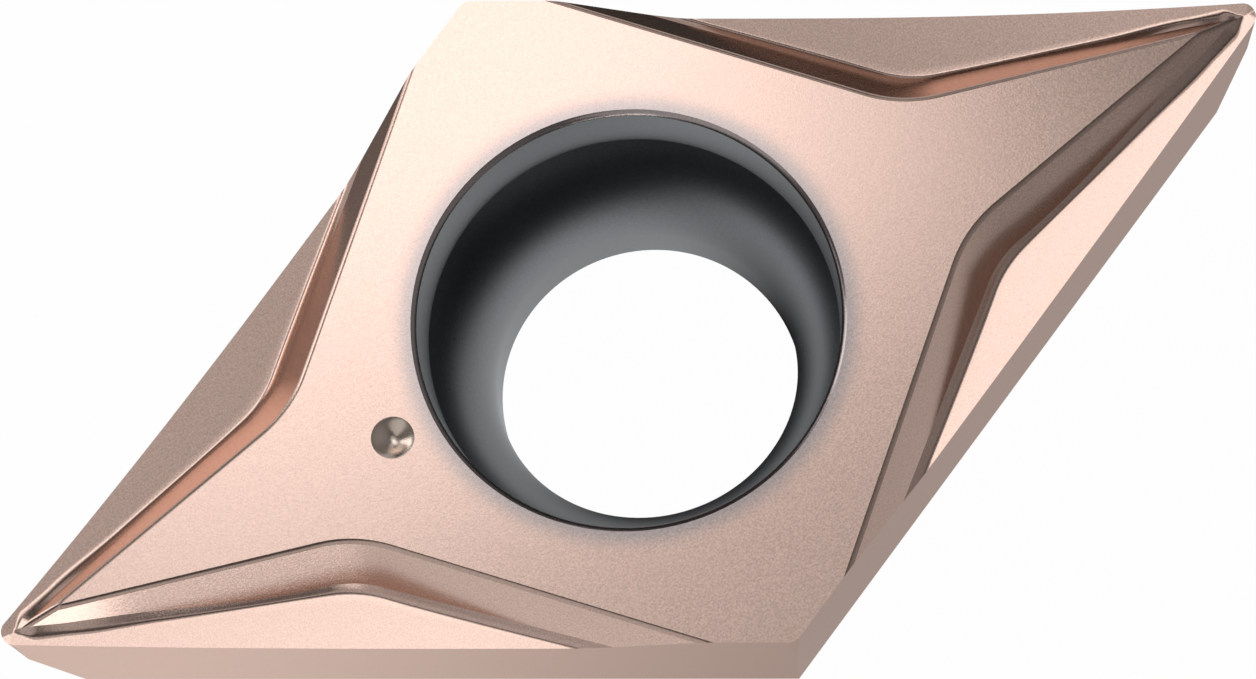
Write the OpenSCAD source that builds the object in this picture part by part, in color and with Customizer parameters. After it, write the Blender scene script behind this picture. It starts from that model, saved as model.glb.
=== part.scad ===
// Positive turning insert: a 55 degree rhombic body of coated carbide, one solid.
// The seat face lies on z = 0 and the screw hole stands on the origin.
// The long diagonal runs along X, from one cutting corner to the other.

/* [Body] */
// Diameter of the circle that touches the four cutting edges at corner height
inscribed_d = 9.525; // [9:0.025:10.5]
// Included angle of the two cutting corners, in degrees
corner_angle = 55; // [52:1:60]
// Height of the cutting corners above the seat face
corner_h = 3.97; // [3.6:0.01:4.4]
// Relief angle of the flanks, in degrees
clearance = 7; // [5:0.5:9]
// Radius of the body's four corners at corner height
corner_r = 0.2; // [0.1:0.05:0.3]
// Rise of the flat top land above the cutting corners
land_rise = 0.2; // [0.16:0.01:0.3]

/* [Screw hole] */
// Radius of the bore that the clamping screw passes through
bore_r = 2.2; // [2:0.05:2.4]
// Radius of the arc that the screw head seats on
seat_arc_r = 4; // [3.6:0.1:5]
// Height at which the seat arc leaves the bore
seat_foot_h = 0.82; // [0.6:0.02:1]
// Radius of the head recess where it meets the seat arc
recess_r = 2.98; // [2.9:0.01:3]
// Radius of the head recess at the foot of its top chamfer
mouth_r = 3.07; // [3.04:0.01:3.2]
// Width of the chamfer round the mouth, at 45 degrees
mouth_chamfer = 0.065; // [0.03:0.005:0.12]
// Width of the edge break round the bore on the seat face
foot_chamfer = 0.04; // [0.02:0.01:0.1]

/* [Chip grooves] */
// Distance from the sharp corner of the rhombus back to the tip of the land
tip_setback = 1.25; // [1.1:0.05:1.5]
// Distance along the cutting edge from that corner to the bend of the land
bend_along = 5.32; // [4.8:0.05:5.8]
// Distance from the flank in to the bend of the land
bend_inset = 1.62; // [1.4:0.02:1.8]
// Radius of the land's outline in the bend
bend_r = 2.04; // [1:0.1:2.4]
// Distance from the blunt corner to where the groove wall leaves the flank
exit_setback = 1.17; // [0.9:0.01:1.5]
// Slope of the groove walls, in degrees
wall_angle = 57; // [50:0.5:60]
// Width of the bevel between the land and the groove walls
bevel_w = 0.06; // [0.03:0.005:0.09]
// Slope of that bevel, in degrees
bevel_angle = 32; // [20:1:35]
// Fall of the ridge that runs from the land's tip towards the cutting corner, in degrees
ridge_angle = 17.5; // [16:0.5:20]
// Side slope of that ridge's top, in degrees
ridge_side_angle = 19; // [14:1:24]
// Depth of the cutting edge below the land where it dips lowest
edge_dip = 0.68; // [0.6:0.01:0.75]
// Distance along the edge from the sharp corner to that lowest point
dip_along = 6.6; // [6.2:0.1:7]
// Radius of the hollow that gives the cutting edge its dip
dip_r = 40.6; // [38:0.2:46]
// Slope of the groove floor, down from the edge, in degrees
rake_angle = 10; // [8:0.5:12]
// Depth below the land at which the foot band starts, at the bend
band_bend_depth = 0.67; // [0.62:0.005:0.7]
// Depth below the land at which the foot band starts, at the flank
band_exit_depth = 0.505; // [0.47:0.001:0.54]
// Depth below the land at which the foot band starts, at the tip
band_tip_depth = 0.27; // [0.22:0.005:0.3]
// Slope of the foot band between wall and floor, in degrees
band_angle = 29; // [26:1:34]

/* [Index dimple] */
// Distance of the dimple from the hole axis, along the long diagonal
dimple_x = 3.79; // [3.6:0.01:4.2]
// Radius of the dimple at the land
dimple_r = 0.29; // [0.2:0.01:0.35]
// Depth of the dimple
dimple_depth = 0.2; // [0.1:0.01:0.2]

/* [Hidden] */
coating_colour = "rosybrown";
// Half the extent of the blocks that stand for one side of a plane
reach = 40;
// Overlap of a cut beyond the face it opens
past = 1;
round_fn = 128;
hollow_fn = 720;
half = corner_angle / 2;
land_h = corner_h + land_rise;
inscribed_r = inscribed_d / 2;
land_inscribed_r = inscribed_r + land_rise * tan(clearance);
// Plan directions of one flank: along its edge from the cutting corner, and outward
along = [-cos(half), sin(half), 0];
outward = [sin(half), cos(half), 0];
up = [0, 0, 1];
sharp_corner = [land_inscribed_r / sin(half), 0, land_h];
blunt_corner = [0, land_inscribed_r / cos(half), land_h];
land_tip = sharp_corner - [tip_setback, 0, 0];
land_bend = sharp_corner + bend_along * along - bend_inset * outward;
land_exit = blunt_corner - exit_setback * along;
// Height above which a corner of radius corner_r has a rounded edge
corner_foot_h = corner_h - corner_r / tan(clearance);

function unit(v) = v / norm(v);
// Plan normal of the line from a to b, on the side of the cutting edge
function side(a, b) = unit([b.y - a.y, a.x - b.x, 0]);
// Run of the wall at a given depth, with the bevel at its top
function wall_run(depth) = bevel_w + (depth - bevel_w * tan(bevel_angle)) / tan(wall_angle);

nose_side = side(land_tip, land_bend);
exit_side = side(land_bend, land_exit);
bend_half_turn = acos(nose_side * exit_side) / 2;
bend_facing = unit(nose_side + exit_side);

// All that lies under the plane through a point, seen against its normal
module under_plane(at, normal) {
    translate(at)
        rotate([0, acos(normal.z / norm(normal)), atan2(normal.y, normal.x)])
            translate([-reach, -reach, -2 * reach])
                cube(2 * reach);
}

// The tip of a wedge outside a cone that touches both of its sides.
// The cone stands on foot with its axis upright and spreads by spread for each mm.
module corner_tip(foot, facing, half_turn, spread, height) {
    far = reach;
    translate(foot)
        rotate(atan2(facing.y, facing.x))
            difference() {
                linear_extrude(height)
                    polygon([
                        [0, 0],
                        [far, -far * tan(half_turn)],
                        [far, far * tan(half_turn)]
                    ]);
                cylinder(h = height, r1 = 0, r2 = height * spread, $fn = round_fn);
            }
}

// Rhombic blank with relieved flanks and rounded upright corners
module blank() {
    corner_tip_h = land_h + past - corner_foot_h;
    difference() {
        intersection() {
            translate([-reach, -reach, 0])
                cube([2 * reach, 2 * reach, land_h]);
            inside_flanks();
        }
        for (turn = [0, 180])
            rotate(turn) {
                corner_tip(
                    [(inscribed_r - corner_r) / sin(half), 0, corner_foot_h],
                    [1, 0, 0], 90 - half, tan(clearance), corner_tip_h
                );
                corner_tip(
                    [0, (inscribed_r - corner_r) / cos(half), corner_foot_h],
                    [0, 1, 0], half, tan(clearance), corner_tip_h
                );
            }
    }
}

// Common volume of the blocks inside the four flanks
module inside_flanks() {
    lean = cos(clearance);
    intersection_for (sx = [-1, 1])
        intersection_for (sy = [-1, 1])
            under_plane(
                [sx * outward.x * inscribed_r, sy * outward.y * inscribed_r, corner_h],
                [sx * outward.x * lean, sy * outward.y * lean, -sin(clearance)]
            );
}

// Space over the groove floor, which is hollow along the edge and falls inward
module above_floor() {
    floor_normal = cos(rake_angle) * up - sin(rake_angle) * outward;
    low_point = sharp_corner + dip_along * along
        - edge_dip * (up + tan(clearance) * outward);
    centre = low_point + dip_r * floor_normal;
    translate(centre)
        rotate([0, 90 - rake_angle, atan2(outward.y, outward.x)])
            cylinder(h = 12, r = dip_r, center = true, $fn = hollow_fn);
}

// Space outside two sloping sides that meet over the bend of the land
module outside_sides(start_w, start_depth, angle) {
    drop = start_depth * up;
    spread = 1 / tan(angle);
    foot_drop = (bend_r - start_w) / spread;
    facing_run = bend_r / cos(bend_half_turn);
    foot = land_bend + facing_run * bend_facing - drop - foot_drop * up;
    difference() {
        intersection() {
            under_plane(
                land_tip + start_w * nose_side - drop,
                -(sin(angle) * nose_side + cos(angle) * up)
            );
            under_plane(
                land_bend + start_w * exit_side - drop,
                -(sin(angle) * exit_side + cos(angle) * up)
            );
        }
        corner_tip(foot, -bend_facing, bend_half_turn, spread, foot_drop + land_rise + past);
    }
}

// Space over one foot band, which eases a wall into the floor.
// It holds the line where it leaves the wall, from one land point and depth to another.
module above_band(start, start_depth, end, end_depth, wall_side) {
    line_start = start + wall_run(start_depth) * wall_side - start_depth * up;
    line_end = end + wall_run(end_depth) * wall_side - end_depth * up;
    fall = wall_side - tan(band_angle) * up;
    under_plane(line_start, -cross(fall, unit(line_end - line_start)));
}

// Space over the ridge, whose line falls from the land's tip towards the corner
module above_ridge() {
    under_plane(land_tip, -[tan(ridge_angle), tan(ridge_side_angle), 1]);
}

// One quarter of the chip former, on the flank that faces +X and +Y
module groove() {
    intersection() {
        translate([0, 0, -past])
            cube([reach, reach, land_h + 2 * past]);
        above_floor();
        above_band(land_tip, band_tip_depth, land_bend, band_bend_depth, nose_side);
        above_band(land_bend, band_bend_depth, land_exit, band_exit_depth, exit_side);
        union() {
            above_ridge();
            outside_sides(0, 0, bevel_angle);
            outside_sides(bevel_w, bevel_w * tan(bevel_angle), wall_angle);
        }
    }
}

// Screw hole: bore, arc seat for the screw head, tapered recess, chamfered mouth
module screw_hole() {
    recess_h = seat_foot_h + sqrt(pow(seat_arc_r, 2) - pow(seat_arc_r + bore_r - recess_r, 2));
    rim_h = land_h - mouth_chamfer;
    rotate_extrude($fn = round_fn)
        difference() {
            polygon([
                [0, -past],
                [bore_r + foot_chamfer + past, -past],
                [bore_r, foot_chamfer],
                [bore_r, seat_foot_h],
                [recess_r, seat_foot_h],
                [recess_r, recess_h],
                [mouth_r, rim_h],
                [mouth_r + mouth_chamfer + past, land_h + past],
                [0, land_h + past]
            ]);
            translate([bore_r + seat_arc_r, seat_foot_h])
                circle(r = seat_arc_r, $fn = hollow_fn);
        }
}

// Shallow round dimple that marks one end of the land
module dimple() {
    ball_r = (pow(dimple_r, 2) + pow(dimple_depth, 2)) / (2 * dimple_depth);
    translate([-dimple_x, 0, land_h - dimple_depth + ball_r])
        sphere(r = ball_r, $fn = 64);
}

module insert() {
    color(coating_colour)
        difference() {
            blank();
            for (turn = [0, 180])
                rotate(turn) {
                    groove();
                    mirror([0, 1, 0])
                        groove();
                }
            screw_hole();
            dimple();
        }
}

insert();
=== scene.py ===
"""Coated carbide turning insert on a white studio floor.

The insert is one sintered body, so it is one piece here too. A quarter of its skin is worked out
row by row along the chip groove, and a Geometry Nodes tree mirrors it to the whole insert and
sinks the index dimple. Lengths in the classes are millimetres; the meshes are in metres.
"""

import logging
import math
from collections.abc import Callable, Iterable, Sequence
from dataclasses import dataclass, field
from enum import IntEnum

import bmesh
import bpy
from mathutils import Euler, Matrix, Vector


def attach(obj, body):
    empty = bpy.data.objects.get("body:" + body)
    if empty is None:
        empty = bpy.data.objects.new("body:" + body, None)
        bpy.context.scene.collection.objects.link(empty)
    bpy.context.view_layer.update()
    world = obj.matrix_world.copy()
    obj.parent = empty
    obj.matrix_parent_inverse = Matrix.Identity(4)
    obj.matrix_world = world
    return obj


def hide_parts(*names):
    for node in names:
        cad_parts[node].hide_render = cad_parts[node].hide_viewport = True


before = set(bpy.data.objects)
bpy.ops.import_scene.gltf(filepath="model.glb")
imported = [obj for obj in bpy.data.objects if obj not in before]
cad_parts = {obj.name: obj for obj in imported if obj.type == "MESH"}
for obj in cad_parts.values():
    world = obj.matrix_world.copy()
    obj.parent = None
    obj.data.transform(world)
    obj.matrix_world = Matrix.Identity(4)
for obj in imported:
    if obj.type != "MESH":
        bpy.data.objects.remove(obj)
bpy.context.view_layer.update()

LOG = logging.getLogger("insert")
MM = 0.001
UP = Vector((0.0, 0.0, 1.0))
FINISH = "finish"
# Points closer than one part in this many of a millimetre are one point
WELDS_PER_MM = 1e5
# Slack in millimetres when two lengths are compared
SLACK = 1e-7
# Rounds after which the searches below have settled
HALVINGS = 60
EDGE_ROUNDS = 12
CORNER_ROUNDS = 6


class Finish(IntEnum):
    """Finish of a face, as the tree reads it from the face attribute."""

    COATING = 0
    BORE = 1
    DIMPLE = 2


def plan(x: float, y: float) -> Vector:
    """Return a plan vector with no height."""
    return Vector((x, y, 0.0))


def toward(angle: float) -> Vector:
    """Return the plan unit vector at an angle in radians from +X."""
    return plan(math.cos(angle), math.sin(angle))


def aim(azimuth: float, elevation: float) -> Vector:
    """Return the unit vector towards a place in the sky.

    Args:
        azimuth: Its plan angle from +X, in degrees.
        elevation: Its angle above the floor, in degrees.

    Returns:
        The vector.
    """
    rise = math.radians(elevation)
    return toward(math.radians(azimuth)) * math.cos(rise) + math.sin(rise) * UP


def ease(t: float) -> float:
    """Return t eased at both ends, from 0 to 1."""
    t = min(max(t, 0.0), 1.0)
    return t * t * (3.0 - 2.0 * t)


def blend(a: float, b: float, t: float) -> float:
    """Return the value between a and b at share t."""
    return a + (b - a) * t


def root(gap: Callable[[float], float], low: float, high: float) -> float:
    """Find where a function changes sign.

    Args:
        gap: The function, with opposite signs at low and high.
        low: One end of the search.
        high: The other end.

    Returns:
        The argument at which the function is zero.
    """
    low_sign = gap(low) > 0.0
    for _ in range(HALVINGS):
        middle = 0.5 * (low + high)
        if (gap(middle) > 0.0) == low_sign:
            low = middle
        else:
            high = middle
    return 0.5 * (low + high)


@dataclass(frozen=True)
class Blank:
    """Rhombic body with relieved flanks, before grooves and hole."""

    inscribed_d: float = 9.525
    corner_angle: float = 55.0
    corner_h: float = 3.97
    clearance: float = 7.0
    corner_r: float = 0.2
    land_rise: float = 0.2

    @property
    def half(self) -> float:
        """Half of the cutting corner's angle, in radians."""
        return math.radians(self.corner_angle / 2)

    @property
    def relief(self) -> float:
        """Run of a flank for each millimetre of height."""
        return math.tan(math.radians(self.clearance))

    @property
    def land_h(self) -> float:
        """Height of the land."""
        return self.corner_h + self.land_rise

    @property
    def land_reach(self) -> float:
        """Distance of a flank from the axis, at the height of the land."""
        return self.inscribed_d / 2 + self.land_rise * self.relief

    @property
    def along(self) -> Vector:
        """Plan direction of the cutting edge, away from its cutting corner."""
        return plan(-math.cos(self.half), math.sin(self.half))

    @property
    def outward(self) -> Vector:
        """Plan direction that the flank faces."""
        return plan(math.sin(self.half), math.cos(self.half))

    @property
    def sharp_corner(self) -> Vector:
        """Cutting corner of the sharp rhombus, at the height of the land."""
        return plan(self.land_reach / math.sin(self.half), 0.0)

    @property
    def blunt_corner(self) -> Vector:
        """Blunt corner of the sharp rhombus, at the height of the land."""
        return plan(0.0, self.land_reach / math.cos(self.half))

    @property
    def nose_centre(self) -> Vector:
        """Axis of the cutting corner's radius."""
        return plan((self.inscribed_d / 2 - self.corner_r) / math.sin(self.half), 0.0)

    @property
    def blunt_centre(self) -> Vector:
        """Axis of the blunt corner's radius."""
        return plan(0.0, (self.inscribed_d / 2 - self.corner_r) / math.cos(self.half))

    @property
    def seat_nose(self) -> Vector:
        """Corner of the seat face under the cutting corner."""
        return plan(self.reach(self.land_h) / math.sin(self.half), 0.0)

    @property
    def seat_blunt(self) -> Vector:
        """Corner of the seat face under the blunt corner."""
        return plan(0.0, self.reach(self.land_h) / math.cos(self.half))

    @property
    def apex_h(self) -> float:
        """Height at which both corner radii have shrunk to nothing."""
        return self.corner_h - self.corner_r / self.relief

    def reach(self, depth: float) -> float:
        """Return the flank's distance from the axis at a depth below the land."""
        return self.land_reach - self.relief * depth

    def round_r(self, depth: float) -> float:
        """Return the radius of the corners at a depth below the land."""
        return self.corner_r + self.relief * (self.land_rise - depth)

    def edge_place(self, at: Vector) -> float:
        """Return how far along the cutting edge a plan point lies, from the sharp corner."""
        return (at - self.sharp_corner).dot(self.along)


@dataclass(frozen=True)
class Row:
    """One line of the groove's skin, from the land or ridge out to the cutting edge."""

    start: Vector
    facing: Vector
    start_depth: float
    bevel_end: tuple[float, float]
    crease: tuple[float, float]
    foot_run: float
    foot_height: float
    edge: tuple[float, float] | None = None


@dataclass(frozen=True)
class ChipGroove:
    """Chip groove of one cutting edge, in the quarter that faces +X and +Y."""

    blank: Blank
    # Outline of the land
    tip_setback: float = 1.259
    bend_along: float = 5.32
    bend_inset: float = 1.62
    bend_r: float = 2.04
    exit_setback: float = 1.17
    # Bevel along the land, and slopes of the walls as fall for each millimetre of run
    bevel_w: float = 0.072
    bevel_depth: float = 0.045
    bevel_lead: float = 0.24
    wall_slope: float = 1.55
    tip_wall_slope: float = 1.35
    # Ridge from the land's tip towards the corner
    ridge_fall: float = 0.315
    ridge_len: float = 0.705
    ridge_side_slope: float = 0.344
    ridge_merge: float = 0.72
    strip_drop: float = 0.0165
    # Dip of the cutting edge
    edge_dip: float = 0.68
    dip_along: float = 6.6
    dip_rise_nose: float = 0.0123
    dip_rise_exit: float = 0.004
    # Depth of the crease between wall and foot, and slope of the floor behind the edge
    crease_tip: float = 0.25
    crease_bend: float = 0.69
    crease_exit_fall: float = 0.0487
    rake: float = 0.176
    # Foot that eases a wall into the floor
    foot_slope: float = 1.1
    tip_foot_slope: float = 0.8
    nose_foot_slope: float = 0.5
    front_foot_slope: float = 0.28
    foot_strip: float = 0.5
    foot_reach: float = 0.85
    foot_probe: float = 0.05
    least_foot: float = 0.02
    # Spacing of the rows, and where the tip's slopes have turned into the wall's own
    nose_spacing: float = 1.25
    tip_zone: float = 0.35
    exit_spacing: float = 0.2
    past_exit: float = 0.2
    # Cells across the groove and rows along it
    bevel_cells: int = 4
    wall_cells: int = 3
    foot_cells: int = 8
    floor_cells: int = 7
    nose_rows: int = 8
    ridge_rows: int = 12
    nose_side_rows: int = 22
    bend_rows: int = 12
    exit_rows: int = 14

    @property
    def tip(self) -> Vector:
        """Pointed end of the land."""
        return self.blank.sharp_corner - plan(self.tip_setback, 0.0)

    @property
    def bend(self) -> Vector:
        """Point where the two sides of the land would meet without the bend's radius."""
        b = self.blank
        return b.sharp_corner + self.bend_along * b.along - self.bend_inset * b.outward

    @property
    def land_exit(self) -> Vector:
        """Point where the land's outline runs out on the flank."""
        return self.blank.blunt_corner - self.exit_setback * self.blank.along

    @property
    def ridge_end(self) -> Vector:
        """Point where the ridge sinks into the floor of the corner."""
        return self.tip + plan(self.ridge_len, 0.0)

    @staticmethod
    def side(a: Vector, b: Vector) -> Vector:
        """Return the plan normal of the line from a to b, on the side of the cutting edge."""
        return plan(b.y - a.y, a.x - b.x).normalized()

    @property
    def nose_side(self) -> Vector:
        """Plan direction that the wall faces between tip and bend."""
        return self.side(self.tip, self.bend)

    @property
    def exit_side(self) -> Vector:
        """Plan direction that the wall faces between bend and exit."""
        return self.side(self.bend, self.land_exit)

    def edge_depth(self, u: float) -> float:
        """Return the cutting edge's depth below the land at a place along it."""
        rise = self.dip_rise_nose if u < self.dip_along else self.dip_rise_exit
        return max(self.blank.land_rise, self.edge_dip - rise * (u - self.dip_along) ** 2)

    def to_edge(self, start: Vector, facing: Vector) -> tuple[float, float]:
        """Follow a direction out to the cutting edge.

        Args:
            start: Plan point on the land or ridge.
            facing: Plan unit vector to follow.

        Returns:
            Distance to the edge and the edge's depth there.
        """
        b = self.blank
        depth = b.land_rise
        run = 0.0
        for _ in range(EDGE_ROUNDS):
            run = (b.reach(depth) - start.dot(b.outward)) / facing.dot(b.outward)
            depth = self.edge_depth(b.edge_place(start + run * facing))
        return run, depth

    def to_corner(self, start: Vector, facing: Vector, depth: float) -> float:
        """Find the distance from a point out to the corner's radius.

        Args:
            start: Plan point on the ridge.
            facing: Plan unit vector to follow.
            depth: Depth below the land at which the radius is taken.

        Returns:
            The distance.
        """
        offset = start - self.blank.nose_centre
        along = offset.dot(facing)
        gap = offset.length_squared - self.blank.round_r(depth) ** 2
        return -along + math.sqrt(along * along - gap)

    def floor_depth(self, at: Vector) -> float:
        """Work out the depth of the groove's floor below the land.

        Args:
            at: Plan point on the floor.

        Returns:
            The depth there.
        """
        b = self.blank
        edge = self.edge_depth(b.edge_place(at))
        return edge + self.rake * (b.reach(edge) - at.dot(b.outward))

    def foot(
        self, start: Vector, facing: Vector, crease: tuple[float, float], slope: float
    ) -> tuple[float, float]:
        """Size the foot that eases a wall into the floor.

        Args:
            start: Plan point where the row starts.
            facing: Plan direction of the row.
            crease: Distance and depth at which the wall ends.
            slope: Slope of the foot there.

        Returns:
            The foot's run, and its height over the floor where it starts.
        """
        at = start + crease[0] * facing
        height = self.floor_depth(at) - crease[1]
        step = self.foot_probe
        rise = (self.floor_depth(at) - self.floor_depth(at + step * facing)) / step
        run = 2 * height / ((slope + rise) * (1 + self.foot_strip))
        return max(run, self.least_foot), height

    def foot_point(self, row: Row, share: float) -> tuple[float, float]:
        """Work out a point of a row's foot, which is straight first and then hollow.

        Args:
            row: The row.
            share: Share of the foot's run, from 0 at the wall to 1 on the floor.

        Returns:
            Distance and depth of the point.
        """
        run = row.crease[0] + share * row.foot_run
        strip = self.foot_strip
        left = 1 - 2 * share / (1 + strip)
        if share > strip:
            left = (1 - share) ** 2 / (1 - strip ** 2)
        return run, self.floor_depth(row.start + run * row.facing) - row.foot_height * left

    def wall_row(
        self, start: Vector, facing: Vector, crease_depth: float, wall: float, slope: float
    ) -> Row:
        """Make a row that starts on the land's outline, square to it.

        Args:
            start: Plan point on the outline.
            facing: Plan normal of the outline there.
            crease_depth: Depth at which the wall ends.
            wall: Slope of the wall.
            slope: Slope of the foot at the crease.

        Returns:
            The row, out to the cutting edge unless it reaches the flank in the wall or foot.
        """
        crease = (self.bevel_w + (crease_depth - self.bevel_depth) / wall, crease_depth)
        bevel = (self.bevel_w, self.bevel_depth)
        run, height = self.foot(start, facing, crease, slope)
        edge: tuple[float, float] | None = self.to_edge(start, facing)
        if edge[0] <= crease[0] + run:
            edge = None
        return Row(start, facing, 0.0, bevel, crease, run, height, edge)

    def ridge_row(self, x: float, angle: float, front: float) -> Row:
        """Make a row that starts on the ridge between the land's tip and the corner.

        Args:
            x: Distance of the start along the ridge, from the land's tip.
            angle: Plan angle of the row, in radians from +X.
            front: 0 for a row at the side, 1 for the one that runs straight to the corner.

        Returns:
            The row, out to the cutting edge.
        """
        share = x / self.ridge_len
        start = self.tip + plan(x, 0.0)
        facing = toward(angle)
        top = self.ridge_fall * x
        strip = self.ridge_fall * facing.x + self.ridge_side_slope * facing.y
        gain = self.tip_wall_slope * facing.dot(self.nose_side)
        wall_at_start = self.bevel_depth + self.tip_wall_slope * (
            self.nose_side.x * x - self.bevel_w
        )
        narrowing = min(1.0, (1.0 - share) / (1.0 - self.ridge_merge))
        strip_run = narrowing * (top - wall_at_start) / (gain - strip)
        strip_depth = top + strip * strip_run
        merge_depth = self.ridge_fall * self.ridge_merge * self.ridge_len + self.strip_drop
        crease_depth = blend(self.crease_tip, merge_depth, share / self.ridge_merge)
        crease = (strip_run, strip_depth)
        if share < self.ridge_merge and crease_depth > strip_depth:
            crease = ((crease_depth - wall_at_start) / gain, crease_depth)
        slope = blend(self.tip_foot_slope, self.nose_foot_slope, share)
        slope = blend(slope, self.front_foot_slope, front)
        run, height = self.foot(start, facing, crease, slope)
        edge = self.to_edge(start, facing)
        beyond = self.blank.edge_place(start + edge[0] * facing)
        if beyond < self.blank.edge_place(self.nose_tangent()) - SLACK:
            for _ in range(CORNER_ROUNDS):
                reach = self.to_corner(start, facing, edge[1])
                edge = (reach, self.floor_depth(start + reach * facing))
        run = min(run, self.foot_reach * (edge[0] - crease[0]))
        bevel = (strip_run, strip_depth)
        return Row(start, facing, top, bevel, crease, run, height, edge)

    def nose_tangent(self) -> Vector:
        """Find where the corner's radius meets the straight cutting edge.

        Returns:
            The plan point.
        """
        b = self.blank
        depth = b.land_rise
        at = b.nose_centre
        for _ in range(CORNER_ROUNDS):
            at = b.nose_centre + b.round_r(depth) * b.outward
            depth = self.edge_depth(b.edge_place(at))
        return at

    def tangent_angle(self) -> float:
        """Return the plan angle from the ridge's end to the corner radius's tangent point."""
        gap = self.nose_tangent() - self.ridge_end
        return math.atan2(gap.y, gap.x)

    def nose_crease_depth(self, share: float) -> float:
        """Return the crease's depth at a share of the way from the land's tip to the bend."""
        rise = 0.5 * ease(share) + 0.5 * math.sin(0.5 * math.pi * share)
        return blend(self.crease_tip, self.crease_bend, rise)

    def exit_row(self, start: Vector, run: float) -> Row:
        """Return the row at a distance past the bend's radius, on the exit side."""
        depth = self.crease_bend - self.crease_exit_fall * run
        return self.wall_row(start, self.exit_side, depth, self.wall_slope, self.foot_slope)

    @property
    def foot_end(self) -> int:
        """Number of the column at which the foot ends on the floor."""
        return self.bevel_cells + self.wall_cells + self.foot_cells

    def skin_point(self, row: Row, column: int) -> tuple[float, float]:
        """Work out a point of a row's bevel, wall or foot.

        Args:
            row: The row.
            column: Number of the point, from 0 on the land to foot_end.

        Returns:
            Distance and depth of the point.
        """
        bevel_run, bevel_depth = row.bevel_end
        if column <= self.bevel_cells:
            s = column / self.bevel_cells
            sag = self.bevel_lead * s + (1 - self.bevel_lead) * s * s
            return bevel_run * s, blend(row.start_depth, bevel_depth, sag)
        column -= self.bevel_cells
        if column <= self.wall_cells:
            s = column / self.wall_cells
            return blend(bevel_run, row.crease[0], s), blend(bevel_depth, row.crease[1], s)
        return self.foot_point(row, (column - self.wall_cells) / self.foot_cells)

    def room(self, row: Row, point: tuple[float, float]) -> float:
        """Return how far a row's point, as distance and depth, lies inside the flank."""
        at = row.start + point[0] * row.facing
        return self.blank.reach(point[1]) - at.dot(self.blank.outward)

    def columns(self, row: Row) -> list[tuple[float, float]]:
        """List distance and depth of each column of a row.

        Args:
            row: The row to cut into cells.

        Returns:
            Points from the land out, all on the edge once it is reached.
        """
        points = [self.skin_point(row, column) for column in range(self.foot_end + 1)]
        low_run = points[-1][0]
        edge = row.edge if row.edge else self.cut_by_flank(row, points)
        for i in range(1, self.floor_cells):
            run = blend(low_run, edge[0], i / self.floor_cells)
            points.append((run, self.floor_depth(row.start + run * row.facing)))
        points.append(edge)
        if row.edge:
            return points
        return [p if p[0] < edge[0] - SLACK else edge for p in points]

    def cut_by_flank(self, row: Row, points: Sequence[tuple[float, float]]) -> tuple[float, float]:
        """Find where a row that ends before its foot does reaches the flank.

        Args:
            row: The row.
            points: Its columns down to the end of the foot.

        Returns:
            Distance and depth of the crossing.
        """
        rooms = [self.room(row, point) for point in points]
        for i in range(1, len(points)):
            if rooms[i - 1] >= 0.0 > rooms[i]:
                s = rooms[i - 1] / (rooms[i - 1] - rooms[i])
                before, after = points[i - 1], points[i]
                return blend(before[0], after[0], s), blend(before[1], after[1], s)
        return points[-1] if rooms[-1] > 0.0 else points[0]

    def rows(self) -> tuple[list[Row], int]:
        """Lay the rows from the corner's tip to the groove's exit.

        Returns:
            The rows, and the index of the one that starts at the land's tip.
        """
        laid: list[Row] = []
        tangent = self.tangent_angle()
        flank = 0.5 * math.pi - self.blank.half
        for i in range(self.nose_rows):
            angle = tangent * i / self.nose_rows
            laid.append(self.ridge_row(self.ridge_len, angle, 1.0 - angle / flank))
        for angle in (tangent, blend(tangent, flank, 0.5), flank):
            laid.append(self.ridge_row(self.ridge_len, angle, 1.0 - angle / flank))
        side_angle = math.atan2(self.nose_side.y, self.nose_side.x)
        for i in range(1, self.ridge_rows):
            s = i / self.ridge_rows
            laid.append(self.ridge_row(self.ridge_len * (1 - s), blend(flank, side_angle, s), 0.0))
        first = len(laid)
        half_turn = 0.5 * self.nose_side.angle(self.exit_side)
        tangent_run = self.bend_r * math.tan(half_turn)
        nose_line = (self.bend - self.tip).normalized()
        nose_len = (self.bend - self.tip).length - tangent_run
        for i in range(self.nose_side_rows):
            s = (i / self.nose_side_rows) ** self.nose_spacing
            eased = ease(min(s / self.tip_zone, 1.0))
            laid.append(self.wall_row(
                self.tip + s * nose_len * nose_line,
                self.nose_side,
                self.nose_crease_depth(s),
                blend(self.tip_wall_slope, self.wall_slope, eased),
                blend(self.tip_foot_slope, self.foot_slope, eased),
            ))
        start = self.tip + nose_len * nose_line
        centre = start + self.bend_r * self.nose_side
        for i in range(self.bend_rows):
            facing = toward(side_angle - 2 * half_turn * i / self.bend_rows)
            laid.append(self.wall_row(
                centre - self.bend_r * facing, facing, self.crease_bend, self.wall_slope,
                self.foot_slope,
            ))
        laid += self.rows_past_bend(centre - self.bend_r * self.exit_side)
        return laid, first

    def rows_past_bend(self, start: Vector) -> list[Row]:
        """Lay the rows from the bend to the exit.

        Each column of foot, wall and bevel gets a row that ends just where it leaves the flank.

        Args:
            start: Plan point where the bend's radius ends.

        Returns:
            The rows in order.
        """
        line = (self.land_exit - start).normalized()
        length = (self.land_exit - start).length

        def gap(run: float, column: int) -> float:
            """Return how far a column's point lies inside the flank."""
            row = self.exit_row(start + run * line, run)
            return self.room(row, self.skin_point(row, column))

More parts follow.
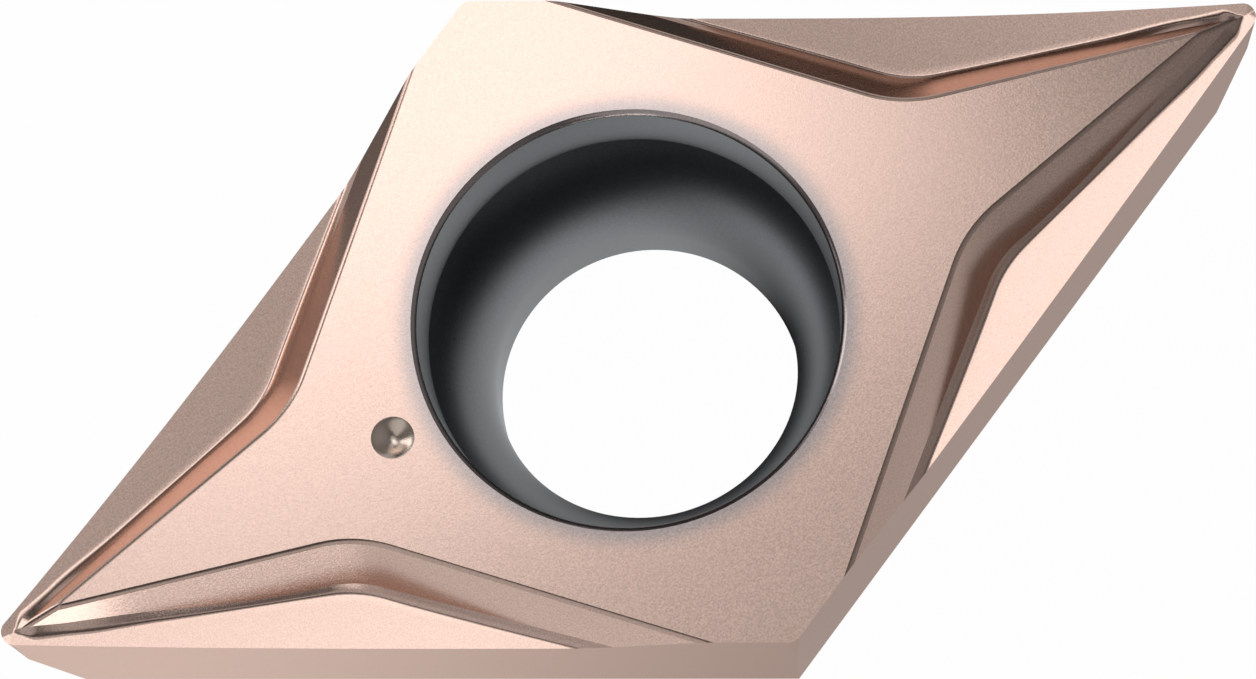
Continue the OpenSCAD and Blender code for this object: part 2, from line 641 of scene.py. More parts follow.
        spare = length + self.past_exit
        columns = range(self.foot_end, 0, -1)
        crossings = [root(lambda run, c=column: gap(run, c), 0.0, spare) for column in columns]
        stations = [crossings[0] * i / self.exit_rows for i in range(self.exit_rows)]
        for here, after in zip(crossings, crossings[1:] + [length]):
            steps = max(1, round((after - here) / self.exit_spacing))
            stations += [blend(here, after, i / steps) for i in range(steps)]
        laid = [self.exit_row(start + run * line, run) for run in stations]
        laid.append(self.exit_row(self.land_exit, length))
        return laid


@dataclass(frozen=True)
class ScrewHole:
    """Bore, seat arc for the screw head, tapered recess and chamfered mouth."""

    bore_r: float = 2.2
    seat_arc_r: float = 4.0
    seat_foot_h: float = 0.82
    recess_r: float = 2.98
    mouth_r: float = 3.07
    mouth_chamfer: float = 0.078
    mouth_round: float = 0.3
    foot_chamfer: float = 0.04
    steps: int = 32
    seat_cells: int = 18
    mouth_cells: int = 4
    recess_cells: int = 3

    def profile(self, land_h: float) -> list[tuple[float, float]]:
        """Work out the outline of the hole's wall, from the land to the seat face.

        Args:
            land_h: Height of the land.

        Returns:
            Radius and height of each point.
        """
        rim_h = land_h - self.mouth_chamfer
        recess_turn = math.acos((self.seat_arc_r + self.bore_r - self.recess_r) / self.seat_arc_r)
        points = []
        for i in range(self.mouth_cells + 1):
            s = i / self.mouth_cells
            out = blend(1 - s, 1 - math.sin(0.5 * math.pi * s), self.mouth_round)
            rise = blend(1 - s, math.cos(0.5 * math.pi * s), self.mouth_round)
            past_wall, past_rim = self.mouth_chamfer * out, self.mouth_chamfer * rise
            points.append((self.mouth_r + past_wall, rim_h + past_rim))
        recess_h = self.seat_foot_h + self.seat_arc_r * math.sin(recess_turn)
        for i in range(1, self.recess_cells):
            s = i / self.recess_cells
            points.append((blend(self.mouth_r, self.recess_r, s), blend(rim_h, recess_h, s)))
        for i in range(self.seat_cells + 1):
            turn = recess_turn * (1 - i / self.seat_cells)
            points.append((
                self.bore_r + self.seat_arc_r * (1 - math.cos(turn)),
                self.seat_foot_h + self.seat_arc_r * math.sin(turn),
            ))
        points.append((self.bore_r, 0.5 * (self.seat_foot_h + self.foot_chamfer)))
        points.append((self.bore_r, self.foot_chamfer))
        points.append((self.bore_r + self.foot_chamfer, 0.0))
        return points

    def ring(self, radius: float, height: float) -> list[Vector]:
        """Work out the points of a quarter ring, from +X to +Y.

        Args:
            radius: Radius of the ring.
            height: Its height.

        Returns:
            The points.
        """
        turns = [0.5 * math.pi * i / self.steps for i in range(self.steps + 1)]
        points = [Vector((radius * math.cos(t), radius * math.sin(t), height)) for t in turns]
        points[-1].x = 0.0
        return points


@dataclass
class Shell:
    """Skin of faces that share their corner points, in millimetres."""

    points: list[Vector] = field(default_factory=list)
    faces: list[list[int]] = field(default_factory=list)
    finishes: list[int] = field(default_factory=list)
    flat: list[bool] = field(default_factory=list)
    hard: set[tuple[int, int]] = field(default_factory=set)
    known: dict[tuple[int, ...], int] = field(default_factory=dict)

    def point(self, at: Vector) -> int:
        """Add a point unless it is there.

        Args:
            at: The point.

        Returns:
            Its index.
        """
        key = tuple(round(value * WELDS_PER_MM) for value in at)
        if key not in self.known:
            self.known[key] = len(self.points)
            self.points.append(at.copy())
        return self.known[key]

    def face(
        self, corners: Iterable[Vector], facing: Vector, finish: Finish, flat: bool = False
    ) -> None:
        """Add a face, turned so that it looks towards a direction.

        Args:
            corners: Its corner points in order, with repeats left out here.
            facing: A direction on the open side of the face.
            finish: The face's finish.
            flat: Whether the face is shaded flat, as a ground plane is.
        """
        loop: list[int] = []
        for corner in corners:
            index = self.point(corner)
            if index not in loop:
                loop.append(index)
        if len(loop) < 3:
            return
        normal = Vector()
        for here, after in zip(loop, loop[1:] + loop[:1]):
            normal += self.points[here].cross(self.points[after])
        if normal.dot(facing) < 0.0:
            loop.reverse()
        self.faces.append(loop)
        self.finishes.append(int(finish))
        self.flat.append(flat)

    def crisp(self, path: Sequence[Vector]) -> None:
        """Keep the shading crisp along a path.

        Args:
            path: Points of the path, which are corners of faces.
        """
        marks = [self.point(at) for at in path]
        for a, b in zip(marks, marks[1:]):
            if a != b:
                self.hard.add((min(a, b), max(a, b)))

    def mesh(self, name: str) -> bpy.types.Mesh:
        """Turn the skin into a mesh in metres.

        Args:
            name: Name of the mesh.

        Returns:
            The mesh, smooth but for its crisp edges, with the finish of each face.
        """
        made = bpy.data.meshes.new(name)
        made.from_pydata([MM * at for at in self.points], [], self.faces)
        finish = made.attributes.new(FINISH, "INT", "FACE")
        finish.data.foreach_set("value", self.finishes)
        made.polygons.foreach_set("use_smooth", [not flat for flat in self.flat])
        for edge in made.edges:
            ends = (min(edge.vertices), max(edge.vertices))
            edge.use_edge_sharp = ends in self.hard
        return made


class Socket:
    """One output of a node, used as a number in Python expressions."""

    def __init__(self, board: "Board", out: bpy.types.NodeSocket | None) -> None:
        """Keep the output and the board that it is on."""
        self.board = board
        self.out = out

    def math(self, operation: str, *others: "Socket | float") -> "Socket":
        """Return what a Math node makes of this value and others."""
        return self.board.node(
            "ShaderNodeMath", {"operation": operation}, {0: self, **dict(enumerate(others, 1))}
        )

    def __add__(self, other: "Socket | float") -> "Socket":
        """Add."""
        return self.math("ADD", other)

    __radd__ = __add__

    def __mul__(self, other: "Socket | float") -> "Socket":
        """Multiply."""
        return self.math("MULTIPLY", other)

    __rmul__ = __mul__

    def __sub__(self, other: "Socket | float") -> "Socket":
        """Subtract."""
        return self.math("SUBTRACT", other)

    def __rsub__(self, other: float) -> "Socket":
        """Subtract this value from a number."""
        return self.board.node("ShaderNodeMath", {"operation": "SUBTRACT"}, {0: other, 1: self})

    def __truediv__(self, other: "Socket | float") -> "Socket":
        """Divide."""
        return self.math("DIVIDE", other)

    def __rtruediv__(self, other: float) -> "Socket":
        """Divide a number by this value."""
        return self.board.node("ShaderNodeMath", {"operation": "DIVIDE"}, {0: other, 1: self})

    def rise(self, low: float, high: float) -> "Socket":
        """Ease a value into a smooth step.

        Args:
            low: The value at which the step is 0.
            high: The value at which it is 1.

        Returns:
            The step.
        """
        return self.board.node(
            "ShaderNodeMapRange",
            {"interpolation_type": "SMOOTHSTEP"},
            {"Value": self, "From Min": low, "From Max": high},
        )


Plug = Socket | float | str | Sequence[float] | Sequence[Socket] | bpy.types.Material


class Board:
    """A node tree that is wired by method calls."""

    def __init__(self, tree: bpy.types.NodeTree) -> None:
        """Take a tree and empty it."""
        self.tree = tree
        tree.nodes.clear()

    def node(
        self, kind: str, settings: dict[str, object], plugs: dict[int | str, Plug],
        out: int | str = 0,
    ) -> Socket:
        """Add a node.

        Args:
            kind: The node's type.
            settings: Its settings, set before its sockets are used.
            plugs: Values or links for its inputs, by index or name.
            out: Which output to return.

        Returns:
            That output.
        """
        made = self.tree.nodes.new(kind)
        for name, value in settings.items():
            setattr(made, name, value)
        for key, value in plugs.items():
            links = value if isinstance(value, list) else [value]
            for link in links:
                if isinstance(link, Socket):
                    self.tree.links.new(link.out, made.inputs[key])
                else:
                    made.inputs[key].default_value = link
        return Socket(self, made.outputs[out] if len(made.outputs) else None)

    def vector(self, operation: str, plugs: dict[int | str, Plug], out: int | str = 0) -> Socket:
        """Return what a Vector Math node makes of its inputs."""
        return self.node("ShaderNodeVectorMath", {"operation": operation}, plugs, out)

    def axis(self, place: Socket, index: int) -> Socket:
        """Return one coordinate of a place."""
        return self.node("ShaderNodeSeparateXYZ", {}, {0: place}, index)

    def object_place(self) -> Socket:
        """Return the place on the piece, in its own coordinates."""
        return self.node("ShaderNodeTexCoord", {}, {}, "Object")

    def ray(self, kind: str) -> Socket:
        """Return 1 for light paths of a kind, such as Is Camera Ray."""
        return self.node("ShaderNodeLightPath", {}, {}, kind)

    def mix(self, fac: Plug, a: Plug, b: Plug) -> Socket:
        """Return the colour between a and b."""
        return self.node("ShaderNodeMix", {"data_type": "RGBA"}, {"Factor": fac, 6: a, 7: b}, 2)

    def noise(self, per_mm: float, detail: float, roughness: float = 0.5) -> Socket:
        """Cover the piece with even noise.

        Args:
            per_mm: Grains in each millimetre.
            detail: Number of finer layers.
            roughness: Strength of the finer layers.

        Returns:
            The noise, which lies round 0.5.
        """
        plugs = {"Scale": per_mm / MM, "Detail": detail, "Roughness": roughness}
        return self.node("ShaderNodeTexNoise", {}, {"Vector": self.object_place(), **plugs})

    def bump(self, height: Socket, strength: float, depth: float) -> Socket:
        """Return the normal over a relief, whose depth is in millimetres."""
        plugs = {"Height": height, "Strength": strength, "Distance": depth * MM}
        return self.node("ShaderNodeBump", {}, plugs, "Normal")

    def metal(self, plugs: dict[int | str, Plug]) -> None:
        """Finish the tree as bare metal with these inputs."""
        shader = self.node("ShaderNodeBsdfPrincipled", {}, {"Metallic": 1.0, **plugs})
        self.node("ShaderNodeOutputMaterial", {}, {"Surface": shader})


def paint(name: str) -> tuple[bpy.types.Material, Board]:
    """Make an empty material.

    Args:
        name: Its name.

    Returns:
        The material and its board.
    """
    made = bpy.data.materials.new(name)
    made.use_nodes = True
    return made, Board(made.node_tree)


@dataclass(frozen=True)
class RoseCoating:
    """Thin rose-bronze coating over fine sintered grain, duller in a ring round the mouth."""

    colour: tuple[float, float, float, float] = (0.76, 0.55, 0.47, 1.0)
    dull_colour: tuple[float, float, float, float] = (0.47, 0.405, 0.395, 1.0)
    edge_tint: tuple[float, float, float, float] = (0.87, 0.73, 0.66, 1.0)
    roughness: float = 0.2
    grain_per_mm: float = 38.0
    grain_contrast: float = 0.52
    grain_roughness: float = 0.08
    grain_depth: float = 0.004
    grain_relief: float = 0.12
    clouds_per_mm: float = 0.9
    cloud_contrast: float = 0.03
    cloud_roughness: float = 0.02
    mouth_r: float = 3.148
    ring_w: float = 0.46

    def material(self) -> bpy.types.Material:
        """Build the coating's material.

        Returns:
            The material.
        """
        made, b = paint("rose_coating")
        grain = b.noise(self.grain_per_mm, detail=1.0)
        cloud = b.noise(self.clouds_per_mm, detail=3.0)
        flat = b.vector("MULTIPLY", {0: b.object_place(), 1: (1, 1, 0)})
        radius = b.vector("LENGTH", {0: flat}, "Value")
        near = 1.0 - radius.rise(self.mouth_r * MM, (self.mouth_r + self.ring_w) * MM)
        shade = (grain - 0.5) * self.grain_contrast + (cloud - 0.5) * self.cloud_contrast + 1.0
        rough = (grain - 0.5) * self.grain_roughness + (cloud - 0.5) * self.cloud_roughness
        base = b.mix(near * near, self.colour, self.dull_colour)
        b.metal({
            "Base Color": b.vector("SCALE", {0: base, "Scale": shade}),
            "Roughness": rough + self.roughness,
            "Normal": b.bump(grain, self.grain_relief, self.grain_depth),
            "Specular Tint": self.edge_tint,
        })
        return made


@dataclass(frozen=True)
class BareBore:
    """Uncoated grey carbide inside the screw hole, with painted light that makes the recess a
    little lighter.
    """

    colour: tuple[float, float, float] = (0.2, 0.21, 0.22)
    edge_tint: tuple[float, float, float, float] = (0.65, 0.65, 0.65, 1.0)
    roughness: float = 0.3
    grain_per_mm: float = 25.0
    grain_contrast: float = 0.55
    grain_roughness: float = 0.1
    recess_h: float = 3.193
    recess_edge: float = 0.02
    # Painted light: share by which the bore's colour is raised in the recess
    recess_painted_light: float = 0.32

    def material(self) -> bpy.types.Material:
        """Build the bore's material.

        Returns:
            The material.
        """
        made, b = paint("bare_bore")
        grain = b.noise(self.grain_per_mm, detail=2.0, roughness=0.6)
        # Painted light: the bore's colour is raised above the recess's foot, so the recess shows
        # lighter
        edge = (self.recess_h - self.recess_edge, self.recess_h + self.recess_edge)
        recess = b.axis(b.object_place(), 2).rise(edge[0] * MM, edge[1] * MM)
        shade = ((grain - 0.5) * self.grain_contrast + 1.0) * (recess * self.recess_painted_light + 1.0)
        b.metal({
            "Base Color": b.vector("SCALE", {0: self.colour, "Scale": shade}),
            "Roughness": (grain - 0.5) * self.grain_roughness + self.roughness,
            "Specular Tint": self.edge_tint,
        })
        return made


@dataclass(frozen=True)
class PaintedLightDimple:
    """Coating inside the index dimple, in a lighter, paler rose than the land's coating: painted
    light.
    """

    # Painted light: a lighter copy of the coating's colour
    colour: tuple[float, float, float, float] = (0.92, 0.76, 0.66, 1.0)
    roughness: float = 0.28
    dents_per_mm: float = 6.0
    dent_roughness: float = 0.06
    dent_depth: float = 0.01
    dent_relief: float = 0.3

    def material(self) -> bpy.types.Material:
        """Build the dimple's material.

        Returns:
            The material.
        """
        made, b = paint("painted_light_dimple")
        dents = b.noise(self.dents_per_mm, detail=2.0)
        b.metal({
            "Base Color": self.colour,
            "Roughness": (dents - 0.5) * self.dent_roughness + self.roughness,
            "Normal": b.bump(dents, self.dent_relief, self.dent_depth),
        })
        return made


@dataclass(frozen=True)
class WhiteStudioFloor:
    """Pale floor that the camera sees as white and the metal sees as a painted glow.

    The painted glow that the metal mirrors is given for four quarters of the floor and for a
    glowing patch under the hole.
    """

    side: float = 1.2
    colour: tuple[float, float, float, float] = (0.8, 0.8, 0.8, 1.0)
    seen_white: float = 0.985
    # Painted glow that the metal mirrors: tones near the insert, round that and far out
    glow_left_front: tuple[float, float, float] = (0.84, 0.77, 0.62)
    glow_right_front: tuple[float, float, float] = (0.47, 0.54, 0.2)
    glow_left_back: tuple[float, float, float] = (0.2, 0.5, 0.5)
    glow_right_back: tuple[float, float, float] = (0.04, 0.5, 0.5)
    # Places between which one tone fades into the next
    left_fade: tuple[float, float] = (-9.0, 1.5)
    front_fade: tuple[float, float] = (0.0, 2.5)
    near_fade: tuple[float, float] = (12.0, 15.0)
    far_fade: tuple[float, float] = (20.0, 26.0)
    # Painted glowing patch under the hole, which the bore mirrors, with the direction in which its
    # tone changes
    under_glow_fade: tuple[float, float] = (2.2, 3.41)
    under_glow_tones: tuple[float, float] = (1.05, 0.03)
    under_glow_turn: float = -70.0
    under_glow_turn_fade: tuple[float, float] = (-1.5, 0.8)

    def build(self) -> bpy.types.Object:
        """Build the floor.

        Returns:
            The floor's object.
        """
        mesh = bpy.data.meshes.new("studio_floor")
        s = self.side / 2
        mesh.from_pydata([(-s, -s, 0), (s, -s, 0), (s, s, 0), (-s, s, 0)], [], [(0, 1, 2, 3)])
        mesh.materials.append(self.material())
        floor = bpy.data.objects.new("studio_floor", mesh)
        bpy.context.scene.collection.objects.link(floor)
        return floor

    @staticmethod
    def step(value: Socket, fade: tuple[float, float]) -> Socket:
        """Return a smooth step over a fade in millimetres."""
        return value.rise(fade[0] * MM, fade[1] * MM)

    def painted_glow(self, b: Board) -> Socket:
        """Work out the painted glow that the metal mirrors.

        Args:
            b: The board of the material.

        Returns:
            The tone, where 1 is white.
        """
        place = b.object_place()
        radius = b.vector("LENGTH", {0: place}, "Value")
        left = 1.0 - self.step(b.axis(place, 0), self.left_fade)
        front = 1.0 - self.step(b.axis(place, 1), self.front_fade)
        rings = []
        for i in range(3):
            ahead = left * (self.glow_left_front[i] - self.glow_right_front[i]) + self.glow_right_front[i]
            behind = left * (self.glow_left_back[i] - self.glow_right_back[i]) + self.glow_right_back[i]
            rings.append(front * ahead + (1.0 - front) * behind)
        outer = self.step(radius, self.near_fade)
        far = self.step(radius, self.far_fade)
        painted_glow = rings[0] * (1.0 - outer) + (rings[1] * (1.0 - far) + rings[2] * far) * outer
        hole = 1.0 - self.step(radius, self.under_glow_fade)
        away = toward(math.radians(self.under_glow_turn))
        dim = self.step(b.vector("DOT_PRODUCT", {0: place, 1: away}, "Value"), self.under_glow_turn_fade)
        under = dim * (self.under_glow_tones[1] - self.under_glow_tones[0]) + self.under_glow_tones[0]
        return painted_glow * (1.0 - hole) + hole * under

    def material(self) -> bpy.types.Material:
        """Build the floor's material.

        Returns:
            The material.
        """
        made, b = paint("white_floor")
        camera = b.ray("Is Camera Ray")
        # Glossy rays see only the emission, which carries the painted glow; camera rays see white
        share = camera * self.seen_white + b.ray("Is Glossy Ray") + b.ray("Is Transmission Ray")
        shown = b.mix(camera, self.painted_glow(b), (1.0, 1.0, 1.0, 1.0))
        lit = b.node("ShaderNodeBsdfDiffuse", {}, {"Color": self.colour})
        white = b.node("ShaderNodeEmission", {}, {"Color": shown, "Strength": 1.0})
        shader = b.node("ShaderNodeMixShader", {}, {0: share, 1: lit, 2: white})
        b.node("ShaderNodeOutputMaterial", {}, {"Surface": shader})
        return made


@dataclass(frozen=True)
class SoftBox:
    """Rectangular studio lamp that looks at the insert."""

    name: str
    azimuth: float
    elevation: float
    distance: float
    width: float
    height: float
    strength: float
    roll: float = 0.0

    def build(self) -> bpy.types.Object:
        """Place the lamp, in millimetres and degrees, with its radiance as strength.

        Returns:
            The lamp's object.
        """
        lamp = bpy.data.lights.new(self.name, "AREA")
        lamp.shape = "RECTANGLE"
        lamp.size = self.width * MM
        lamp.size_y = self.height * MM
        lamp.energy = self.strength * lamp.size * lamp.size_y * math.pi
        made = bpy.data.objects.new(self.name, lamp)
        away = aim(self.azimuth, self.elevation)
        made.location = away * self.distance * MM
        roll = Euler((0.0, 0.0, math.radians(self.roll))).to_quaternion()
        made.rotation_euler = (away.to_track_quat("Z", "Y") @ roll).to_euler()
        made.visible_camera = False
        bpy.context.scene.collection.objects.link(made)
        return made


@dataclass(frozen=True)
class SkyGlow:
    """Soft light that comes from one side of the horizon."""

    azimuth: float
    strength: float

    def amount(self, b: Board, view: Socket) -> Socket:
        """Work out the light that this glow adds.

        Args:
            b: The board of the world.
            view: Direction that is looked in.

        Returns:
            The light from that direction.
        """
        facing = b.vector("DOT_PRODUCT", {0: view, 1: aim(self.azimuth, 0.0)}, "Value")
        return facing.math("MAXIMUM", 0.0) * self.strength


@dataclass(frozen=True)
class Studio:
    """Lamps and surrounding light."""

    glows: tuple[SkyGlow, ...] = (
        SkyGlow(-26.3, 0.235),
        SkyGlow(-116.3, 0.04),
        SkyGlow(170.0, 0.12),
    )
    lamps: tuple[SoftBox, ...] = (
        SoftBox("key_box", 96.8, 58.5, 37.0, 20.0, 26.0, 0.75, -2.0),
        SoftBox("key_core", 91.2, 64.1, 37.0, 13.0, 11.0, 0.5),
        SoftBox("overhead_box", 63.7, 88.4, 91.0, 46.0, 61.0, 0.468, -18.0),
        SoftBox("lower_left_box", -142.8, 31.2, 60.0, 73.0, 50.0, 0.387, -24.0),
        SoftBox("left_box", 114.5, 50.3, 43.0, 30.0, 56.0, 0.226, -1.0),
        SoftBox("back_box", 61.0, 29.7, 69.0, 26.0, 57.0, 0.35, 19.0),
        SoftBox("front_box", -102.2, -3.8, 58.0, 67.0, 19.0, 2.1, -12.0),
        SoftBox("far_left_box", 128.8, 18.6, 70.0, 26.0, 24.0, 1.5, 16.0),
        SoftBox("low_left_box", 132.0, 5.0, 70.0, 66.0, 11.0, 0.9),
    )

    def build(self) -> list[bpy.types.Object]:
        """Set the world and place the lamps.

        Returns:
            The lamps' objects.
        """
        world = bpy.data.worlds.new("studio")
        bpy.context.scene.world = world
        world.use_nodes = True
        b = Board(world.node_tree)
        view = b.node("ShaderNodeTexCoord", {}, {}, "Generated")
        light = sum((glow.amount(b, view) for glow in self.glows), 0.0)
        colour = b.mix(b.ray("Is Camera Ray"), light, (1.0, 1.0, 1.0, 1.0))
        sky = b.node("ShaderNodeBackground", {}, {"Color": colour, "Strength": 1.0})
        b.node("ShaderNodeOutputWorld", {}, {"Surface": sky})
        return [lamp.build() for lamp in self.lamps]


@dataclass(frozen=True)
class ProductCamera:
    """Long-lens camera at the product picture's viewing angle."""

    place: tuple[float, float, float] = (-9.73556, -59.37991, 211.08269)
    turn: tuple[float, float, float] = (15.4114446, 4.8641164, -26.3196942)
    lens: float = 429.936
    sensor: float = 36.0
    sight: tuple[float, float] = (0.01, 10.0)

    def build(self) -> bpy.types.Object:
        """Place the camera and make it the scene's own.

        Returns:
            The camera's object.
        """
        data = bpy.data.cameras.new("product_camera")
        data.lens = self.lens
        data.sensor_width = self.sensor
        data.clip_start, data.clip_end = self.sight
        made = bpy.data.objects.new("product_camera", data)
        made.location = [v * MM for v in self.place]
        made.rotation_euler = Euler([math.radians(v) for v in self.turn], "XYZ")
        bpy.context.scene.collection.objects.link(made)
        bpy.context.scene.camera = made
        return made


@dataclass(frozen=True)
class Insert:
    """The whole insert: a mirrored quarter with its dimple."""

    blank: Blank = field(default_factory=Blank)
    hole: ScrewHole = field(default_factory=ScrewHole)
    dimple_x: float = 3.79
    dimple_r: float = 0.315
    dimple_depth: float = 0.15
    dimple_lip: float = 0.3
    # The ball that is cut away reaches past the bowl, and its upper half is flattened and lifted
    dimple_past: float = 1.06
    dimple_cells: tuple[int, int] = (64, 48)
    ball_cap: tuple[float, float] = (0.3, 0.02)
    ball_middle: float = 0.0001
    # Points of the mirrored quarters that lie closer than this are merged
    seam: float = 0.0005
    blunt_cells: int = 6

    def quarter(self) -> Shell:
        """Work out the skin of the quarter that faces +X and +Y.

        Returns:
            The skin, open along the planes of symmetry.
        """
        blank = self.blank
        shell = Shell()
        groove = ChipGroove(blank)
        rows, first = groove.rows()
        lines: list[list[Vector]] = []
        for row in rows:
            line = []
            for run, depth in groove.columns(row):
                line.append(row.start + run * row.facing + (blank.land_h - depth) * UP)
            lines.append(line)
        for point in lines[0]:
            point.y = 0.0
        for here, after in zip(lines, lines[1:]):
            for j in range(len(here) - 1):
                corners = (here[j], here[j + 1], after[j + 1], after[j])
                shell.face(corners, UP, Finish.COATING)
        crease = groove.bevel_cells + groove.wall_cells
        for column in (0, groove.bevel_cells, crease, len(lines[0]) - 1):
            shell.crisp([line[column] for line in lines])
        self.add_hole(shell)
        self.add_land(shell, [line[0] for line in lines[first:]])
        self.add_flank(shell, [line[-1] for line in lines], groove)
        return shell

    def blunt_round(self) -> list[Vector]:
        """Work out the land's points round the blunt corner.

        Returns:
            The points, from the flank to the middle of the corner.
        """
        blank = self.blank
        start = 0.5 * math.pi - blank.half
        points = []
        for i in range(self.blunt_cells + 1):
            turn = blend(start, 0.5 * math.pi, i / self.blunt_cells)
            at = blank.blunt_centre + blank.round_r(0.0) * toward(turn)
            points.append(at + blank.land_h * UP)
        points[-1].x = 0.0
        return points

    def add_land(self, shell: Shell, outline: list[Vector]) -> None:
        """Add the flat land between the grooves and the hole's mouth.

        Args:
            shell: The skin to add to.
            outline: Points of the land's outline, from the tip to the groove's exit.
        """
        mouth = self.hole.ring(*self.hole.profile(self.blank.land_h)[0])
        loop = outline + self.blunt_round() + mouth[::-1]
        shell.face(loop, UP, Finish.COATING, flat=True)

    def add_hole(self, shell: Shell) -> None:
        """Add the hole's wall and the seat face round it.

        Args:
            shell: The skin to add to.
        """
        profile = self.hole.profile(self.blank.land_h)
        rings = [self.hole.ring(*point) for point in profile]
        for k, (upper, lower) in enumerate(zip(rings, rings[1:])):
            finish = Finish.COATING if k < self.hole.mouth_cells else Finish.BORE
            for j in range(self.hole.steps):
                corners = (upper[j], upper[j + 1], lower[j + 1], lower[j])
                middle = sum(corners, Vector()) / 4
                facing = plan(-middle.x, -middle.y)
                if k == len(rings) - 2:
                    facing.z = -1.0
                shell.face(corners, facing, finish)
        recess = self.hole.mouth_cells
        arc = recess + self.hole.recess_cells
        for k in (0, recess, arc, len(rings) - 2, len(rings) - 1):
            shell.crisp(rings[k])
        corners = [self.blank.seat_blunt, self.blank.seat_nose]
        shell.face(rings[-1] + corners, -UP, Finish.COATING, flat=True)
        shell.crisp(corners)

    def add_flank(self, shell: Shell, edge: list[Vector], groove: ChipGroove) -> None:
        """Add the relieved flank under the cutting edge and the rounds at its corners.

        Args:
            shell: The skin to add to.
            edge: Points of the cutting edge, from the nose to the groove's exit.
            groove: The groove that the edge belongs to.
        """
        blank = self.blank
        nose, blunt = blank.seat_nose, blank.seat_blunt
        nose_apex = blank.nose_centre + blank.apex_h * UP
        blunt_apex = blank.blunt_centre + blank.apex_h * UP
        blunt_round = self.blunt_round()
        tangent = groove.nose_rows
        facing = blank.outward - blank.relief * UP
        for here, after in zip(edge[:tangent], edge[1:tangent + 1]):
            shell.face((here, after, nose_apex), plan(1.0, 0.0), Finish.COATING)
        for here, after in zip(blunt_round, blunt_round[1:]):
            shell.face((here, after, blunt_apex), plan(0.0, 1.0), Finish.COATING)
        loop = edge[tangent:] + [blunt_round[0], blunt_apex, blunt, nose, nose_apex]
        shell.face(loop, facing, Finish.COATING, flat=True)
        shell.crisp(edge)
        shell.crisp([edge[-1], *blunt_round])
        shell.crisp([nose_apex, nose])
        shell.crisp([blunt_apex, blunt])

    def mirror_tree(self) -> bpy.types.NodeTree:
        """Build the tree that mirrors the quarter, sinks the dimple and sets the finishes.

        Returns:
            The Geometry Nodes tree.
        """
        tree = bpy.data.node_groups.new("mirrored_insert", "GeometryNodeTree")
        face = tree.interface
        face.new_socket("Quarter", in_out="INPUT", socket_type="NodeSocketGeometry")
        for name in ("Seam", "Dimple Radius", "Dimple Depth"):
            face.new_socket(name, in_out="INPUT", socket_type="NodeSocketFloat")
        face.new_socket("Dimple Place", in_out="INPUT", socket_type="NodeSocketVector")
        for name in ("Coating", "Bore", "Dimple"):
            face.new_socket(name, in_out="INPUT", socket_type="NodeSocketMaterial")
        face.new_socket("Insert", in_out="OUTPUT", socket_type="NodeSocketGeometry")
        b = Board(tree)
        names = [item.name for item in face.items_tree if item.in_out == "INPUT"]
        given = {name: b.node("NodeGroupInput", {}, {}, name) for name in names}

        def mirrored(shape: Socket, scale: tuple[float, float, float]) -> Socket:
            """Join a shape with its mirror image.

            Args:
                shape: The shape.
                scale: Scale that mirrors it, with one -1.

            Returns:
                Both together.
            """
            image = b.node("GeometryNodeTransform", {}, {"Geometry": shape, "Scale": scale})
            image = b.node("GeometryNodeFlipFaces", {}, {"Mesh": image})
            return b.node("GeometryNodeJoinGeometry", {}, {0: [image, shape]})

        whole = mirrored(mirrored(given["Quarter"], (-1, 1, 1)), (1, -1, 1))
        whole = b.node(
            "GeometryNodeMergeByDistance", {}, {"Geometry": whole, "Distance": given["Seam"]}
        )
        segments, rings = self.dimple_cells
        past = given["Dimple Radius"] * self.dimple_past
        ball = b.node(
            "GeometryNodeMeshUVSphere", {}, {"Segments": segments, "Rings": rings, "Radius": past}
        )
        bowl = self.bowl(b, given["Dimple Radius"], given["Dimple Depth"])
        ball = b.node("GeometryNodeSetPosition", {}, {"Geometry": ball, "Position": bowl})
        ball = b.node(
            "GeometryNodeTransform", {}, {"Geometry": ball, "Translation": given["Dimple Place"]}
        )
        ball = b.node("GeometryNodeSetShadeSmooth", {}, {"Geometry": ball, "Shade Smooth": True})
        ball = b.node(
            "GeometryNodeStoreNamedAttribute", {"data_type": "INT", "domain": "FACE"},
            {"Geometry": ball, "Name": FINISH, "Value": int(Finish.DIMPLE)},
        )
        whole = b.node(
            "GeometryNodeMeshBoolean", {"operation": "DIFFERENCE", "solver": "EXACT"},
            {"Mesh 1": whole, "Mesh 2": ball},
        )
        whole = b.node("GeometryNodeRealizeInstances", {}, {"Geometry": whole})
        finish = b.node(
            "GeometryNodeInputNamedAttribute", {"data_type": "INT"}, {"Name": FINISH}, "Attribute"
        )
        whole = b.node(
            "GeometryNodeSetMaterial", {}, {"Geometry": whole, "Material": given["Coating"]}
        )
        for name, value in (("Bore", Finish.BORE), ("Dimple", Finish.DIMPLE)):
            chosen = b.node(
                "FunctionNodeCompare", {"data_type": "INT", "operation": "EQUAL"},
                {"A": finish, "B": int(value)},
            )
            whole = b.node(
                "GeometryNodeSetMaterial", {},
                {"Geometry": whole, "Selection": chosen, "Material": given[name]},
            )
        b.node("NodeGroupOutput", {}, {0: whole})
        return tree

    def bowl(self, b: Board, radius: Socket, depth: Socket) -> Socket:
        """Shape the lower half of a ball into the dimple's bowl, with an eased lip.

        Args:
            b: The board of the tree.
            radius: Radius of the dimple at the land.
            depth: Depth of its middle.

        Returns:
            The new place of each point of the ball.
        """
        place = b.node("GeometryNodeInputPosition", {}, {})
        x, y, z = (b.axis(place, index) for index in range(3))
        rest = 1.0 - (x * x + y * y) / (radius * radius)
        sunk = rest * (rest.math("ABSOLUTE") * (1.0 - self.dimple_lip) + self.dimple_lip)
        above = z.math("GREATER_THAN", self.ball_middle * MM)
        lower = sunk * depth * (above - 1.0)
        upper = above * (z * self.ball_cap[0] + self.ball_cap[1] * MM)
        return b.node("ShaderNodeCombineXYZ", {}, {0: x, 1: y, 2: lower + upper})

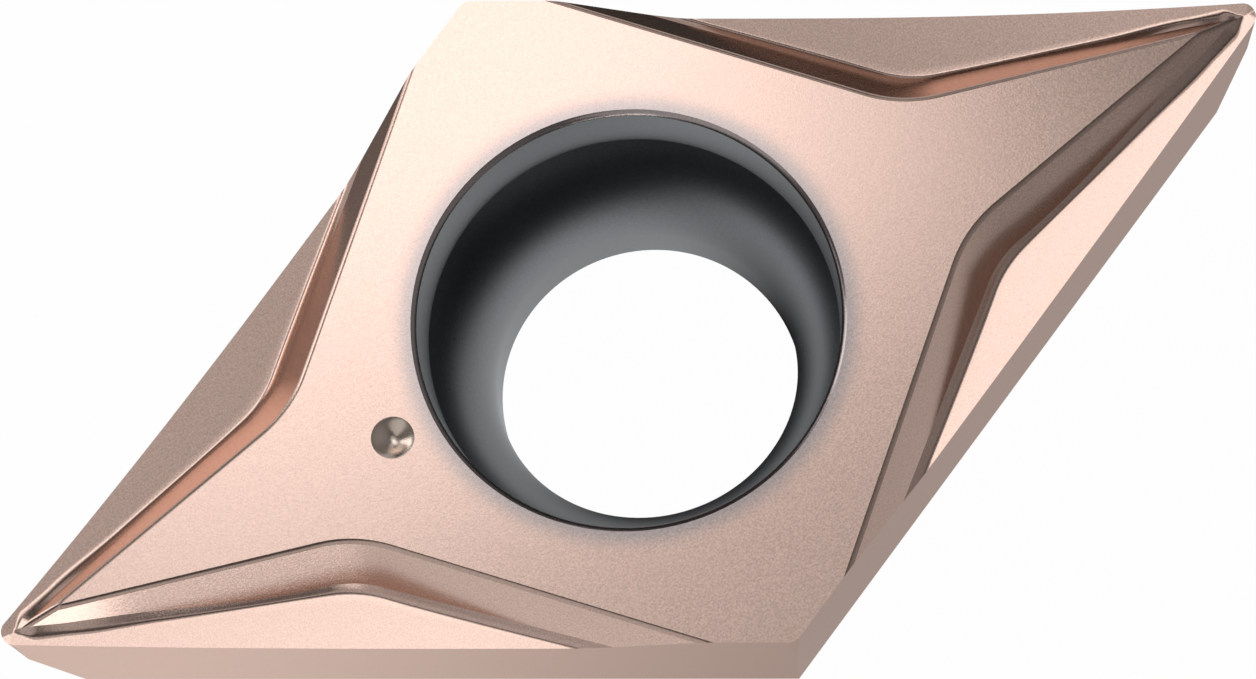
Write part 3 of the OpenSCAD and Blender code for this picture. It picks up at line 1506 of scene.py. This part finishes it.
    def build(self) -> bpy.types.Object:
        """Build the insert's mesh and dress it.

        Returns:
            The insert's object, which rides on the root body.
        """
        carrier = bpy.data.objects.new("dressed_insert", self.quarter().mesh("insert_quarter"))
        bpy.context.scene.collection.objects.link(carrier)
        tree = self.mirror_tree()
        modifier = carrier.modifiers.new("mirror_and_dimple", "NODES")
        values = {
            "Seam": self.seam * MM,
            "Dimple Radius": self.dimple_r * MM,
            "Dimple Depth": self.dimple_depth * MM,
            "Dimple Place": (-self.dimple_x * MM, 0.0, self.blank.land_h * MM),
            "Coating": RoseCoating().material(),
            "Bore": BareBore().material(),
            "Dimple": PaintedLightDimple().material(),
        }
        modifier.node_group = tree
        for item in tree.interface.items_tree:
            if item.name in values and item.in_out == "INPUT":
                modifier[item.identifier] = values[item.name]
        graph = bpy.context.evaluated_depsgraph_get()
        mesh = bpy.data.meshes.new_from_object(carrier.evaluated_get(graph))
        carrier.modifiers.clear()
        carrier.data = mesh
        self.point_outwards(mesh)
        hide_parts("insert")
        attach(carrier, "root")
        return carrier

    @staticmethod
    def point_outwards(mesh: bpy.types.Mesh) -> None:
        """Turn every face of a closed mesh outwards.

        Args:
            mesh: The mesh.
        """
        work = bmesh.new()
        work.from_mesh(mesh)
        bmesh.ops.recalc_face_normals(work, faces=work.faces[:])
        open_edges = sum(1 for e in work.edges if len(e.link_faces) != 2)
        LOG.info("%d faces, %d open edges", len(work.faces), open_edges)
        work.to_mesh(mesh)
        work.free()


def main() -> None:
    """Build the camera, the insert and the studio."""
    logging.basicConfig(level=logging.INFO, format="%(name)s: %(message)s")
    bpy.context.scene.view_settings.view_transform = "Standard"
    camera = ProductCamera().build()
    LOG.info("%s stands %.0f mm away", camera.name, camera.location.length / MM)
    insert = Insert().build()
    finishes = ", ".join(material.name for material in insert.data.materials if material)
    LOG.info("%s is built and dressed with %s", insert.name, finishes)
    floor = WhiteStudioFloor().build()
    LOG.info("%s lies at height 0", floor.name)
    for lamp in Studio().build():
        LOG.info("%s is placed", lamp.name)


if __name__ == "__main__":
    main()
